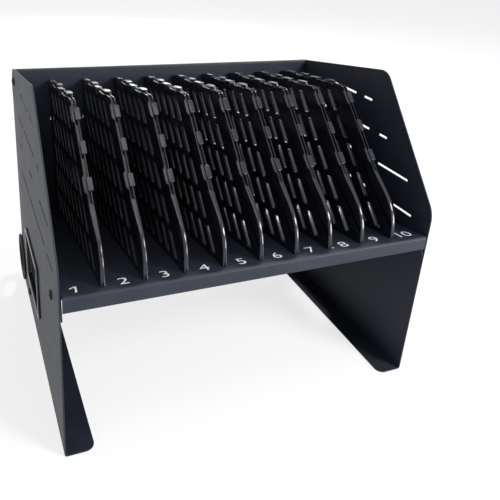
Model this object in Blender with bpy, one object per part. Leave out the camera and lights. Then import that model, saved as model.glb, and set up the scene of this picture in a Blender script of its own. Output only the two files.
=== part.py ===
"""Ten-bay steel charging rack: two side panels, a tilted tray and back, nine slotted dividers."""
from math import acos, atan2, ceil, cos, floor, pi, radians, sin, tan

import bmesh
import bpy
from mathutils import Matrix, Vector

# Fits and cutting allowances
SHEET = 0.0015
GAP = 0.0003
OVERRUN = 0.002

# Side panels, measured from the front edge and the floor
WIDTH = 0.424
SIDE_DEPTH = 0.350
KNEE_RISE = 0.029
KNEE_RADIUS = 0.030
SHOULDER_SETBACK = 0.120
SHOULDER_RADIUS = 0.022
REAR_TOP_RADIUS = 0.035
FOOT_WIDTH = 0.032
FOOT_CORNER_RADIUS = 0.010
REAR_FLANGE_WIDTH = 0.015
REAR_FLANGE_MARGIN = 0.007
SIDE_SLOT_HEIGHT = 0.003
# Height as a share of the shoulder height, then start and end as shares of the side depth
SIDE_SLOT_SHARES = (
    (0.563, 0.094, 0.190), (0.563, 0.237, 0.815),
    (0.672, 0.143, 0.310), (0.672, 0.470, 0.535), (0.672, 0.737, 0.800),
    (0.774, 0.285, 0.330), (0.774, 0.390, 0.630), (0.774, 0.670, 0.790),
    (0.879, 0.400, 0.450), (0.879, 0.500, 0.690),
)
WINDOW_FRONT_MARGIN = 0.158
WINDOW_REAR_MARGIN = 0.088
WINDOW_FOOT = 0.062
WINDOW_HEADROOM = 0.0205
WINDOW_RADIUS = 0.004

# Edge trim pressed round each storage window
TRIM_LAP = 0.0035
TRIM_WALL = 0.0012
TRIM_PROUD = 0.0025
TRIM_INNER_FACE = 0.0012

# Round cable port on the rear edge of each side panel, with a rubber ring in its hole
PORT_INSET = 0.005
PORT_HOLE_RADIUS = 0.026
PORT_RIM = 0.006
PORT_FLOOR_CLEARANCE = 0.006
RING_OVERHANG = 0.002
RING_WALL = 0.005
RING_FLANGE = 0.0025
RING_BEAD = 0.0032
RING_DISH = 0.0012

# Tray and back panel, in a frame that leans by TILT
TILT = radians(9.0)
BAYS = 10
TRAY_FRONT_HEIGHT = 0.193
LIP_PROUD = 0.001
LIP_HEIGHT = 0.0163
LIP_RELIEF = 0.0015
TRAY_FLANGE_DEPTH = 0.026
TRAY_REAR_FLANGE = 0.014
BACK_RISE = 0.0195
BACK_FLOOR_CLEARANCE = 0.012
BACK_FLANGE = 0.020
BACK_REAR_MARGIN = 0.022
BACK_HEM = 0.008

# Dividers
DIVIDER_THICKNESS = 0.005
DIVIDER_HEIGHT = 0.1645
TOP_RISE = radians(2.0)
DIVIDER_SETBACK = 0.011
NOSE_HEIGHT = 0.035
NOSE_RADIUS = 0.046
CHANNEL_SETBACK = 0.0477
CHANNEL_FOOT = 0.070
SLANT = radians(38.0)
TOP_CORNER_RADIUS = 0.012
REAR_CORNER_RADIUS = 0.004
CHANNEL_WIDTH = 0.003
CHANNEL_DEPTH = 0.0045
FRONT_FINGER_LENGTH = 0.0155
FRONT_FINGER_RISE = 0.0012
TOP_FINGER_CLEARANCE = 0.008796
TOP_FINGER_RISE = 0.003
FINGER_SPREAD = 0.0025
FINGER_DROP = 0.005
FINGER_PLATE = 0.0014
FINGER_SLIT = 0.0005
CHEEK_RISE = 0.0004
CHEEK_TAPER = 0.0035
CHEEK_WALL = 0.001
# Place along the straight channel as a share of its length, the side the finger grows from,
# and whether the far wall bulges out beside it
FRONT_FINGER_SHARES = ((0.20, 1, True), (0.555, 1, False), (0.90, 1, True))
TOP_FINGER_SHARES = ((0.18, 1, True), (0.387, -1, False), (0.59, 1, True), (0.80, -1, False))

# Slanted openings through each divider
VENT_FOOT = 0.006
VENT_RISE = 0.0252
VENT_ROW_PITCH = 0.0315
VENT_PITCH = 0.0255
VENT_WIDTH = 0.010
VENT_FRONT_BAND = 0.033
VENT_REAR_BAND = 0.013
VENT_TOP_BAND = 0.0025

# Tabs that lock a divider into the tray and the back panel
TAB_LENGTH = 0.003
TAB_REACH = 0.003
TAB_INSET = 0.002
TAB_SLIDE = 0.006
FRONT_TAB_MARGIN = 0.002
REAR_TAB_MARGIN = 0.022
BACK_TAB_HEIGHT = 0.118

# Screws
SCREW_SHANK_RADIUS = 0.0025
SCREW_HEAD_RADIUS = 0.00525
SCREW_CROWN_RADIUS = 0.0034
SCREW_HEAD_HEIGHT = 0.0027
SCREW_RIM_HEIGHT = 0.0009
SCREW_REACH = 0.008
BACK_SCREW_MARGIN = 0.016
TRAY_SCREW_SETBACK = 0.053
TRAY_SCREW_MARGIN = 0.0075

# Smoothness
CHORD_ERROR = 0.00025
SCREW_SIDES = 10
PORT_SIDES = 18
SHADE_ANGLE = radians(35.0)

# Derived sizes
INNER_WIDTH = WIDTH - 2 * SHEET
BAY_PITCH = INNER_WIDTH / BAYS
PANEL_SPAN = INNER_WIDTH - 2 * GAP
PORT_LOBE_RADIUS = PORT_HOLE_RADIUS + PORT_RIM
RING_RADIUS = PORT_LOBE_RADIUS + RING_OVERHANG
PORT_HEIGHT = RING_RADIUS + PORT_FLOOR_CLEARANCE
PORT_SETBACK = SIDE_DEPTH - PORT_INSET
OVERALL_DEPTH = LIP_PROUD + PORT_SETBACK + RING_RADIUS
FRONT = LIP_PROUD - OVERALL_DEPTH / 2
BACK_TOP = DIVIDER_HEIGHT + BACK_RISE
BACK_TOP_RUN = BACK_TOP * sin(TILT)
TRAY_RUN = SIDE_DEPTH + LIP_PROUD - BACK_REAR_MARGIN - BACK_TOP_RUN
TRAY_DEPTH = TRAY_RUN / cos(TILT) - BACK_FLANGE
TRAY_REAR_HEIGHT = TRAY_FRONT_HEIGHT - TRAY_DEPTH * sin(TILT)
KNEE_HEIGHT = TRAY_FRONT_HEIGHT + KNEE_RISE
SHOULDER_RUN = SHOULDER_SETBACK + LIP_PROUD - BACK_TOP_RUN
SHOULDER_HEIGHT = TRAY_FRONT_HEIGHT + BACK_TOP * cos(TILT) - SHOULDER_RUN * tan(TILT)
SIDE_REAR_HEIGHT = SHOULDER_HEIGHT - (SIDE_DEPTH - SHOULDER_SETBACK) * tan(TILT)
WINDOW_END = SIDE_DEPTH - WINDOW_REAR_MARGIN
WINDOW_TOP = TRAY_REAR_HEIGHT - WINDOW_HEADROOM
BACK_FOOT = (TRAY_REAR_HEIGHT - BACK_FLOOR_CLEARANCE) / cos(TILT)
TAB_SETBACKS = (DIVIDER_SETBACK + FRONT_TAB_MARGIN, TRAY_DEPTH - REAR_TAB_MARGIN)
LEAN_ORIGIN = Vector((0, FRONT - LIP_PROUD, TRAY_FRONT_HEIGHT))
LEAN = Matrix.Translation(LEAN_ORIGIN) @ Matrix.Rotation(-TILT, 4, "X")

STEEL = ("charcoal_powder_coat", (0.045, 0.047, 0.052, 1), 0.55, 0.0)
PLASTIC = ("black_moulded_plastic", (0.012, 0.013, 0.017, 1), 0.45, 0.0)
RUBBER = ("black_rubber", (0.010, 0.010, 0.011, 1), 0.70, 0.0)
FASTENER = ("black_oxide_steel", (0.015, 0.015, 0.016, 1), 0.40, 1.0)


def clear_scene():
    for obj in list(bpy.data.objects):
        bpy.data.objects.remove(obj, do_unlink=True)


def material(spec):
    name, colour, roughness, metallic = spec
    found = bpy.data.materials.get(name)
    if found:
        return found
    made = bpy.data.materials.new(name)
    made.use_nodes = True
    shader = made.node_tree.nodes["Principled BSDF"]
    shader.inputs["Base Color"].default_value = colour
    shader.inputs["Roughness"].default_value = roughness
    shader.inputs["Metallic"].default_value = metallic
    made.diffuse_color = colour
    return made


def arc(corner, before, after, radius):
    """Points that round a corner of an outline with a tangent arc."""
    corner, before, after = Vector(corner), Vector(before), Vector(after)
    into, out = (corner - before).normalized(), (after - corner).normalized()
    turn = atan2(into.x * out.y - into.y * out.x, into.dot(out))
    reach = radius * tan(abs(turn) / 2)
    start = corner - into * reach
    side = 1 if turn > 0 else -1
    centre = start + Vector((-into.y, into.x)) * radius * side
    steps = max(2, ceil(abs(turn) / 2 / acos(1 - CHORD_ERROR / radius)))
    spoke = start - centre
    return [centre + Matrix.Rotation(turn * i / steps, 2) @ spoke for i in range(steps + 1)]


def rounded(corners):
    """Outline from (x, y, radius) corners; a zero radius keeps the corner sharp."""
    points = []
    for i, (x, y, radius) in enumerate(corners):
        before, after = corners[i - 1], corners[(i + 1) % len(corners)]
        if radius:
            points += arc((x, y), before[:2], after[:2], radius)
        else:
            points.append(Vector((x, y)))
    return points


def rectangle(x0, y0, x1, y1, radius=0):
    return rounded([(x0, y0, radius), (x1, y0, radius), (x1, y1, radius), (x0, y1, radius)])


def circle(x, y, radius, sides):
    turns = [2 * pi * i / sides for i in range(sides)]
    return [Vector((x + radius * cos(t), y + radius * sin(t))) for t in turns]


def prism(outline, low, high, axes):
    """Closed prism: the outline lies in the first two axes and runs along the third."""
    first, second, along = axes
    body = bmesh.new()
    rings = []
    for level in (low, high):
        rings.append([body.verts.new(first * p.x + second * p.y + along * level) for p in outline])
    body.faces.new(rings[0])
    body.faces.new(rings[1])
    for i in range(len(outline)):
        j = (i + 1) % len(outline)
        body.faces.new((rings[0][i], rings[0][j], rings[1][j], rings[1][i]))
    return finish_mesh(body)


def turned(profile, sides):
    """Body turned about X from (radius, x) points; a zero radius closes on the axis."""
    body = bmesh.new()
    rings = []
    for radius, x in profile:
        if radius:
            spokes = circle(0, 0, radius, sides)
            rings.append([body.verts.new((x, p.x, p.y)) for p in spokes])
        else:
            rings.append([body.verts.new((x, 0, 0))] * sides)
    closed = all(radius for radius, x in profile)
    for i in range(len(rings) if closed else len(rings) - 1):
        here, there = rings[i], rings[(i + 1) % len(rings)]
        for j in range(sides):
            k = (j + 1) % sides
            corners = list(dict.fromkeys((here[j], here[k], there[k], there[j])))
            body.faces.new(corners)
    return finish_mesh(body)


def finish_mesh(body):
    bmesh.ops.recalc_face_normals(body, faces=body.faces)
    mesh = bpy.data.meshes.new("body")
    body.to_mesh(mesh)
    body.free()
    return mesh


def joined(meshes):
    """One mesh holding several separate bodies."""
    body = bmesh.new()
    for mesh in meshes:
        body.from_mesh(mesh)
        bpy.data.meshes.remove(mesh)
    return finish_mesh(body)


def combined(base, tool, operation):
    """Mesh left when one closed mesh is added to or cut from another."""
    obj, other = (bpy.data.objects.new(n, m) for n, m in (("base", base), ("tool", tool)))
    for item in (obj, other):
        bpy.context.scene.collection.objects.link(item)
    step = obj.modifiers.new("step", "BOOLEAN")
    step.operation, step.solver, step.object = operation, "EXACT", other
    graph = bpy.context.evaluated_depsgraph_get()
    result = bpy.data.meshes.new_from_object(obj.evaluated_get(graph))
    for item, mesh in ((obj, base), (other, tool)):
        bpy.data.objects.remove(item, do_unlink=True)
        bpy.data.meshes.remove(mesh)
    return result


def add(base, *tools):
    for tool in tools:
        base = combined(base, tool, "UNION")
    return base


def cut(base, *tools):
    return combined(base, joined(tools), "DIFFERENCE")


def place(name, mesh, spec, frame=Matrix.Identity(4)):
    obj = bpy.data.objects.new(name, mesh)
    bpy.context.scene.collection.objects.link(obj)
    obj.matrix_world = frame
    if not mesh.materials:
        mesh.materials.append(material(spec))
    mesh.shade_smooth()
    mesh.set_sharp_from_angle(angle=SHADE_ANGLE)
    return obj


X, Y, Z = Vector((1, 0, 0)), Vector((0, 1, 0)), Vector((0, 0, 1))
ACROSS = (Y, Z, X)
FLAT = (X, Y, Z)
FACING = (X, Z, Y)


def leaned(setback, height):
    """Depth and height in the side panel's own frame of a point given in the leaning frame."""
    point = LEAN @ Vector((0, setback, height))
    return point.y - FRONT, point.z


def back_screw_points():
    setback = TRAY_DEPTH + BACK_FLANGE / 2
    low, high = BACK_SCREW_MARGIN - BACK_FOOT, BACK_TOP - BACK_SCREW_MARGIN
    return {"rear_top": (setback, high), "rear_low": (setback, low)}


def tray_screw_point():
    return TRAY_SCREW_SETBACK, TRAY_SCREW_MARGIN - TRAY_FLANGE_DEPTH


def screw_points():
    return {**back_screw_points(), "front": tray_screw_point()}


def side_outline():
    return rounded([
        (0, 0, 0), (SIDE_DEPTH, 0, 0), (SIDE_DEPTH, SIDE_REAR_HEIGHT, REAR_TOP_RADIUS),
        (SHOULDER_SETBACK, SHOULDER_HEIGHT, SHOULDER_RADIUS), (0, KNEE_HEIGHT, KNEE_RADIUS),
    ])


def window_outline(growth):
    """Rounded outline of the storage window, grown outwards or, with a negative value, inwards."""
    return rectangle(WINDOW_FRONT_MARGIN - growth, WINDOW_FOOT - growth,
                     WINDOW_END + growth, WINDOW_TOP + growth, WINDOW_RADIUS + growth)


def side_cutters():
    """Openings of a side panel: slots, storage window, cable port and screw holes."""
    low, high = -OVERRUN, SHEET + OVERRUN
    half = SIDE_SLOT_HEIGHT / 2
    outlines = []
    for height_share, start_share, end_share in SIDE_SLOT_SHARES:
        height = SHOULDER_HEIGHT * height_share
        start, end = SIDE_DEPTH * start_share, SIDE_DEPTH * end_share
        outlines.append(rectangle(start, height - half, end, height + half))
    outlines.append(window_outline(0))
    outlines.append(circle(PORT_SETBACK, PORT_HEIGHT, PORT_HOLE_RADIUS, PORT_SIDES))
    for point in screw_points().values():
        outlines.append(circle(*leaned(*point), SCREW_SHANK_RADIUS + GAP, SCREW_SIDES))
    return [prism(outline, low, high, ACROSS) for outline in outlines]


def side_panel():
    """Left panel with its outer face at X zero and its flanges turned inwards."""
    sheet = prism(side_outline(), 0, SHEET, ACROSS)
    lobe = prism(circle(PORT_SETBACK, PORT_HEIGHT, PORT_LOBE_RADIUS, PORT_SIDES), 0, SHEET, ACROSS)
    foot_outline = rounded([
        (0, 0, 0), (FOOT_WIDTH, 0, FOOT_CORNER_RADIUS),
        (FOOT_WIDTH, SIDE_DEPTH, FOOT_CORNER_RADIUS), (0, SIDE_DEPTH, 0),
    ])
    foot = prism(foot_outline, 0, SHEET, FLAT)
    flange_foot = PORT_HEIGHT + RING_RADIUS + REAR_FLANGE_MARGIN
    curve = REAR_TOP_RADIUS * tan(pi / 4 - TILT / 2)
    flange_top = SIDE_REAR_HEIGHT - curve - REAR_FLANGE_MARGIN
    flange_outline = rectangle(0, flange_foot, REAR_FLANGE_WIDTH, flange_top)
    flange = prism(flange_outline, SIDE_DEPTH - SHEET, SIDE_DEPTH, FACING)
    return cut(add(sheet, lobe, foot, flange), *side_cutters())


def window_trim():
    """Grooved frame that grips the window's edge, in the left side panel's own frame."""
    outer, inner = -GAP - TRIM_PROUD, SHEET + GAP + TRIM_INNER_FACE
    front = prism(window_outline(TRIM_LAP), outer, -GAP, ACROSS)
    rear = prism(window_outline(TRIM_LAP), SHEET + GAP, inner, ACROSS)
    neck = prism(window_outline(-GAP), outer + TRIM_PROUD / 2, inner - TRIM_INNER_FACE / 2, ACROSS)
    bore = prism(window_outline(-GAP - TRIM_WALL), outer - OVERRUN, inner + OVERRUN, ACROSS)
    return cut(add(front, neck, rear), bore)


def mirrored(mesh):
    """Copy of a mesh reflected in X."""
    body = bmesh.new()
    body.from_mesh(mesh)
    bmesh.ops.scale(body, vec=(-1, 1, 1), verts=body.verts)
    return finish_mesh(body)


def place_pair(name, mesh, spec):
    """A piece of the left side panel's frame, and its mirror image on the right."""
    for label, own, side in (("left_", mesh, -1), ("right_", mirrored(mesh), 1)):
        place(label + name, own, spec, Matrix.Translation((side * WIDTH / 2, FRONT, 0)))


def divider_places():
    """X of each divider, one between every two bays."""
    return [BAY_PITCH * (i - BAYS / 2) for i in range(1, BAYS)]


def tab_slots(x):
    """Holes in the tray for one divider, long enough to slide its tabs in from the right."""
    near = x - DIVIDER_THICKNESS / 2 - GAP
    far = x + DIVIDER_THICKNESS / 2 + TAB_SLIDE
    return [prism(rectangle(near, start - GAP, far, start + TAB_LENGTH + GAP),
                  -SHEET - OVERRUN, OVERRUN, FLAT) for start in TAB_SETBACKS]


def flange_hole(setback, height):
    """Screw holes through both side flanges of a leaning piece."""
    span = PANEL_SPAN / 2 + OVERRUN
    outline = circle(setback, height, SCREW_SHANK_RADIUS + GAP, SCREW_SIDES)
    return prism(outline, -span, span, ACROSS)


def side_flanges(outline):
    """One flange at each end of a leaning piece."""
    edge = PANEL_SPAN / 2
    return [prism(outline, -edge, SHEET - edge, ACROSS), prism(outline, edge - SHEET, edge, ACROSS)]


def tray():
    edge = PANEL_SPAN / 2
    rear = TRAY_DEPTH - GAP
    lip_run, lip_drop = LIP_HEIGHT * sin(TILT), LIP_HEIGHT * cos(TILT)
    wall = SHEET / cos(TILT)
    section = [Vector(p) for p in (
        (0, 0), (rear, 0), (rear, -TRAY_REAR_FLANGE), (rear - SHEET, -TRAY_REAR_FLANGE),
        (rear - SHEET, -SHEET), (wall + SHEET * tan(TILT), -SHEET),
        (wall + lip_run, -lip_drop), (lip_run, -lip_drop),
    )]
    sheet = prism(section, -edge, edge, ACROSS)
    inset = wall + TRAY_FLANGE_DEPTH * tan(TILT)
    flange_outline = [Vector(p) for p in (
        (inset, -TRAY_FLANGE_DEPTH), (rear, -TRAY_REAR_FLANGE), (rear, -SHEET / 2),
        (inset, -SHEET / 2),
    )]
    body = add(sheet, *side_flanges(flange_outline))
    slots = [slot for x in divider_places() for slot in tab_slots(x)]
    relief = rectangle(-OVERRUN, -LIP_HEIGHT - OVERRUN, wall + lip_run + GAP, OVERRUN)
    reliefs = [prism(relief, side * (edge - LIP_RELIEF), side * (edge + OVERRUN), ACROSS)
               for side in (-1, 1)]
    return cut(body, flange_hole(*tray_screw_point()), *reliefs, *slots)


def back_panel():
    edge = PANEL_SPAN / 2
    face, rear = TRAY_DEPTH, TRAY_DEPTH + SHEET
    section = [Vector(p) for p in (
        (face, -BACK_FOOT), (rear, -BACK_FOOT), (rear, BACK_TOP - SHEET),
        (face + BACK_HEM, BACK_TOP - SHEET), (face + BACK_HEM, BACK_TOP), (face, BACK_TOP),
    )]
    sheet = prism(section, -edge, edge, ACROSS)
    flange_outline = rectangle(face + SHEET / 2, -BACK_FOOT, face + BACK_FLANGE, BACK_TOP)
    body = add(sheet, *side_flanges(flange_outline))
    half = DIVIDER_THICKNESS / 2 + GAP
    low, high = BACK_TAB_HEIGHT - GAP, BACK_TAB_HEIGHT + TAB_LENGTH + GAP
    slots = [prism(rectangle(x - half, low, x + half, high), face - OVERRUN, rear + OVERRUN, FACING)
             for x in divider_places()]
    holes = [flange_hole(*point) for point in back_screw_points().values()]
    return cut(body, *holes, *slots)


def slant_at(height):
    """Setback of the slanted front line of a divider at a height above the tray."""
    return CHANNEL_SETBACK + (height - CHANNEL_FOOT) * tan(SLANT)


def top_at(setback, inset):
    """Height of the sloping top, or of a line a little below it."""
    slope = tan(TOP_RISE)
    return DIVIDER_HEIGHT + (setback - slant_at(DIVIDER_HEIGHT)) * slope - inset / cos(TOP_RISE)


def corner_at(inset):
    """Corner of the slanted front and the top when both are moved inwards."""
    run, drop = inset / cos(SLANT), inset / cos(TOP_RISE)
    height = DIVIDER_HEIGHT + (run * tan(TOP_RISE) - drop) / (1 - tan(SLANT) * tan(TOP_RISE))
    return slant_at(height) + run, height


def divider_outline():
    rear = TRAY_DEPTH - GAP
    return rounded([
        (DIVIDER_SETBACK, GAP, 0), (rear, GAP, 0), (rear, top_at(rear, 0), REAR_CORNER_RADIUS),
        (*corner_at(0), TOP_CORNER_RADIUS),
        (CHANNEL_SETBACK, CHANNEL_FOOT, 0), (DIVIDER_SETBACK, NOSE_HEIGHT, NOSE_RADIUS),
    ])


def channel_cutter():
    """Cable channel along the slanted front and the top, running out at the rear."""
    half = CHANNEL_WIDTH / 2
    end = TRAY_DEPTH + OVERRUN
    runout = CHANNEL_FOOT + CHANNEL_DEPTH
    outline = rounded([
        (slant_at(CHANNEL_FOOT) - OVERRUN / cos(SLANT), CHANNEL_FOOT, 0),
        (slant_at(runout) + CHANNEL_DEPTH / cos(SLANT), runout, 0),
        (*corner_at(CHANNEL_DEPTH), TOP_CORNER_RADIUS - CHANNEL_DEPTH),
        (end, top_at(end, CHANNEL_DEPTH), 0), (end, top_at(end, -OVERRUN), 0),
        (*corner_at(-OVERRUN), 0),
    ])
    return prism(outline, -half, half, ACROSS)


def vent_cutters():
    """Rows of openings that run parallel to the slanted front, as many as fit."""
    half = DIVIDER_THICKNESS / 2 + OVERRUN
    limit = TRAY_DEPTH - VENT_REAR_BAND
    spare = DIVIDER_HEIGHT - CHANNEL_DEPTH - VENT_TOP_BAND - VENT_FOOT - VENT_RISE
    cutters = []
    for row in range(floor(spare / VENT_ROW_PITCH) + 1):
        foot = VENT_FOOT + row * VENT_ROW_PITCH
        top = foot + VENT_RISE
        first_foot, first_top = (slant_at(h) + VENT_FRONT_BAND for h in (foot, top))
        count = floor((limit - first_top - VENT_WIDTH) / VENT_PITCH) + 1
        for i in range(count):
            foot_start, top_start = first_foot + i * VENT_PITCH, first_top + i * VENT_PITCH
            outline = [Vector(p) for p in (
                (foot_start, foot), (foot_start + VENT_WIDTH, foot),
                (top_start + VENT_WIDTH, top), (top_start, top),
            )]
            cutters.append(prism(outline, -half, half, ACROSS))
    return cutters


def finger(side, length, rise):
    """Hook that grows from one channel wall and reaches over the channel."""
    wall = DIVIDER_THICKNESS / 2
    outer = wall + FINGER_SPREAD
    inner = wall - (DIVIDER_THICKNESS - CHANNEL_WIDTH) / 4
    reach = CHANNEL_WIDTH / 2 - FINGER_SLIT
    hook_foot = rise - FINGER_PLATE
    outline = [Vector((-side * x, y)) for x, y in (
        (-outer, -FINGER_DROP), (-inner, -FINGER_DROP), (-inner, hook_foot),
        (reach, hook_foot), (reach, rise), (-outer, rise),
    )]
    return prism(outline, -length / 2, length / 2, FACING)


def bulge(side, length, near, far, low, high):
    """Block beside the channel with sloping ends, for the wall that faces a finger."""
    outline = [Vector((-side * x, along)) for x, along in (
        (near, -length / 2 - CHEEK_TAPER), (far, -length / 2),
        (far, length / 2), (near, length / 2 + CHEEK_TAPER),
    )]
    return prism(outline, low, high, FLAT)


def top_finger_length(run):
    """Length of a finger on the top that leaves the clearance between the two closest."""
    shares = [share for share, side, bulged in TOP_FINGER_SHARES]
    return run * min(b - a for a, b in zip(shares, shares[1:])) - TOP_FINGER_CLEARANCE


def channel_runs():
    """Straight runs of the channel: frame at the start, length and the fingers on it."""
    trim = TOP_CORNER_RADIUS * tan((pi / 2 - SLANT - TOP_RISE) / 2)
    corner = Vector((0, *corner_at(0)))
    foot = Vector((0, CHANNEL_SETBACK, CHANNEL_FOOT))
    rearward = Vector((0, cos(TOP_RISE), sin(TOP_RISE)))
    top_start = corner + rearward * trim
    top_run = (TRAY_DEPTH - GAP - top_start.y) / cos(TOP_RISE)
    return (
        (foot, pi / 2 - SLANT, (corner - foot).length - trim,
         FRONT_FINGER_LENGTH, FRONT_FINGER_RISE, False, FRONT_FINGER_SHARES),
        (top_start, TOP_RISE, top_run,
         top_finger_length(top_run), TOP_FINGER_RISE, True, TOP_FINGER_SHARES),
    )


def channel_details():
    """Bulges of the channel walls, the pockets in them and the fingers, each a list."""
    wall = DIVIDER_THICKNESS / 2
    inner = (wall + CHANNEL_WIDTH / 2) / 2
    outer = wall + FINGER_SPREAD
    bulges, pockets, hooks = [], [], []
    for start, angle, run, length, rise, pocketed, finger_shares in channel_runs():
        for share, side, bulged in finger_shares:
            frame = (Matrix.Translation(start) @ Matrix.Rotation(angle, 4, X)
                     @ Matrix.Translation(Y * run * share))
            pieces = [(hooks, finger(side, length, rise))]
            if bulged:
                pieces.append((bulges, bulge(side, length, inner, outer, -FINGER_DROP, CHEEK_RISE)))
            if bulged and pocketed:
                pieces.append((pockets, bulge(side, length, 0, outer - CHEEK_WALL,
                                              CHEEK_WALL - FINGER_DROP, CHEEK_RISE + OVERRUN)))
            for kept, mesh in pieces:
                mesh.transform(frame)
                kept.append(mesh)
    return bulges, pockets, hooks


def tabs():
    """Two tabs through the tray and one through the back panel."""
    half = DIVIDER_THICKNESS / 2
    drop = -SHEET - TAB_REACH
    made = [prism(rectangle(-half, start, half, start + TAB_LENGTH), drop, TAB_INSET, FLAT)
            for start in TAB_SETBACKS]
    rear = TRAY_DEPTH + SHEET + TAB_REACH
    outline = rectangle(-half, BACK_TAB_HEIGHT, half, BACK_TAB_HEIGHT + TAB_LENGTH)
    made.append(prism(outline, TRAY_DEPTH - TAB_INSET, rear, FACING))
    return made


def divider():
    half = DIVIDER_THICKNESS / 2
    bulges, pockets, hooks = channel_details()
    plate = cut(prism(divider_outline(), -half, half, ACROSS), *vent_cutters())
    plate = cut(add(plate, *bulges), channel_cutter())
    return add(cut(plate, *pockets), *hooks, *tabs())


def place_dividers():
    mesh = divider()
    for number, x in enumerate(divider_places(), 1):
        place("divider_%d" % number, mesh, PLASTIC, LEAN @ Matrix.Translation((x, 0, 0)))


def cable_ring():
    """Grommet with a dished face, gripping the edge of the port hole in its groove."""
    seat = SHEET / 2 + GAP
    face = seat + RING_FLANGE
    neck = PORT_HOLE_RADIUS - GAP
    bore = PORT_HOLE_RADIUS - RING_WALL
    dish = face - RING_DISH
    half = [
        (neck, seat), (RING_RADIUS, seat), (RING_RADIUS, face), (RING_RADIUS - RING_BEAD, face),
        (RING_RADIUS - RING_BEAD - RING_DISH, dish), (bore + RING_BEAD + RING_DISH, dish),
        (bore + RING_BEAD, face), (bore, face),
    ]
    return turned(half + [(radius, -x) for radius, x in reversed(half)], PORT_SIDES)


def place_cable_rings():
    mesh = cable_ring()
    for name, side in (("left", -1), ("right", 1)):
        x = side * (WIDTH - SHEET) / 2
        place(name + "_cable_ring", mesh, RUBBER,
              Matrix.Translation((x, FRONT + PORT_SETBACK, PORT_HEIGHT)))


def screw():
    """Button-head screw along X with its head towards negative X."""
    return turned([
        (0, -SCREW_HEAD_HEIGHT - GAP), (SCREW_CROWN_RADIUS, -SCREW_HEAD_HEIGHT - GAP),
        (SCREW_HEAD_RADIUS, -SCREW_RIM_HEIGHT - GAP), (SCREW_HEAD_RADIUS, -GAP),
        (SCREW_SHANK_RADIUS, -GAP), (SCREW_SHANK_RADIUS, SCREW_REACH), (0, SCREW_REACH),
    ], SCREW_SIDES)


def place_screws():
    mesh = screw()
    for name, side in (("left", -1), ("right", 1)):
        for label, point in screw_points().items():
            depth, height = leaned(*point)
            spot = Matrix.Translation((side * WIDTH / 2, FRONT + depth, height))
            turn = Matrix.Rotation(0 if side < 0 else pi, 4, "Z")
            place("%s_screw_%s" % (name, label), mesh, FASTENER, spot @ turn)


clear_scene()
place_pair("side_panel", side_panel(), STEEL)
place_pair("window_trim", window_trim(), PLASTIC)
place("back_panel", back_panel(), STEEL, LEAN)
place("tray", tray(), STEEL, LEAN)
place_dividers()
place_cable_rings()
place_screws()
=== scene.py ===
import math

import bmesh
import bpy
from mathutils import Matrix, Vector


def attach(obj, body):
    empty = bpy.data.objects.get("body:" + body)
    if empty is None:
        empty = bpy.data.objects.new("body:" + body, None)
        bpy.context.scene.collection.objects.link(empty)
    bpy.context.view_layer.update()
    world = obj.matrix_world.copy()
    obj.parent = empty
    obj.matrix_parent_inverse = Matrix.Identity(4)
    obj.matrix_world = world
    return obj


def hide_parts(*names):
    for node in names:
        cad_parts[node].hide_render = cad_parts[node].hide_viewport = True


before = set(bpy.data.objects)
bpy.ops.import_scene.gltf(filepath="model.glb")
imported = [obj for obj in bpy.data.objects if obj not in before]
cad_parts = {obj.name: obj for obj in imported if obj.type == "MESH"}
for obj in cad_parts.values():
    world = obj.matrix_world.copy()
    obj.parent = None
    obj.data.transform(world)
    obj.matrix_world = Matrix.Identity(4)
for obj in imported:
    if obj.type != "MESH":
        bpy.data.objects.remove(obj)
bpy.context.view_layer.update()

scene = bpy.context.scene
print("frame loaded:", len(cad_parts), "nodes")


# general helpers
mergeReach = 1e-6  # points nearer than this are one point
upright = Matrix(((0, 0, 1, 0), (1, 0, 0, 0), (0, 1, 0, 0), (0, 0, 0, 1)))  # flat X to the rear, flat Y up
mirror = Matrix.Scale(-1, 4, (1, 0, 0))


def linked(name, data):
    obj = bpy.data.objects.new(name, data)
    scene.collection.objects.link(obj)
    return obj


def plainMesh(obj):
    # evaluated copy of an object as a mesh of its own
    graph = bpy.context.evaluated_depsgraph_get()
    return bpy.data.meshes.new_from_object(obj.evaluated_get(graph))


def fromBmesh(bm, name="part"):
    mesh = bpy.data.meshes.new(name)
    bm.to_mesh(mesh)
    bm.free()
    return mesh


def toBmesh(mesh):
    bm = bmesh.new()
    bm.from_mesh(mesh)
    bpy.data.meshes.remove(mesh)
    return bm


def faceOut(bm):
    # turns every face of one closed shell outwards, told from the sign of its volume
    bmesh.ops.recalc_face_normals(bm, faces=bm.faces)
    if bm.calc_volume(signed=True) < 0:
        bmesh.ops.reverse_faces(bm, faces=bm.faces)


def joinMeshes(meshes, name="part"):
    bm = bmesh.new()
    for mesh in meshes:
        bm.from_mesh(mesh)
    return fromBmesh(bm, name)


def moved(mesh, matrix):
    # a copy in its place, turned right way out again where the matrix mirrors it
    copy = mesh.copy()
    copy.transform(matrix)
    if matrix.determinant() < 0:
        copy.flip_normals()
    return copy


def addPiece(name, mesh, material, nodes, smooth):
    # a finished piece: at the origin, riding on the one body, standing for its solids
    mesh.materials.clear()
    mesh.materials.append(material)
    for face in mesh.polygons:
        face.material_index = 0
    mesh.shade_smooth()
    mesh.set_sharp_from_angle(angle=math.radians(smooth))
    obj = linked(name, mesh)
    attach(obj, "root")
    if nodes:
        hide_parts(*nodes)


# outlines
def arcPoints(centre, radius, start, end, count):
    step = (end - start) / count
    return [(centre[0] + radius * math.cos(start + step * i),
             centre[1] + radius * math.sin(start + step * i)) for i in range(count + 1)]


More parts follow.
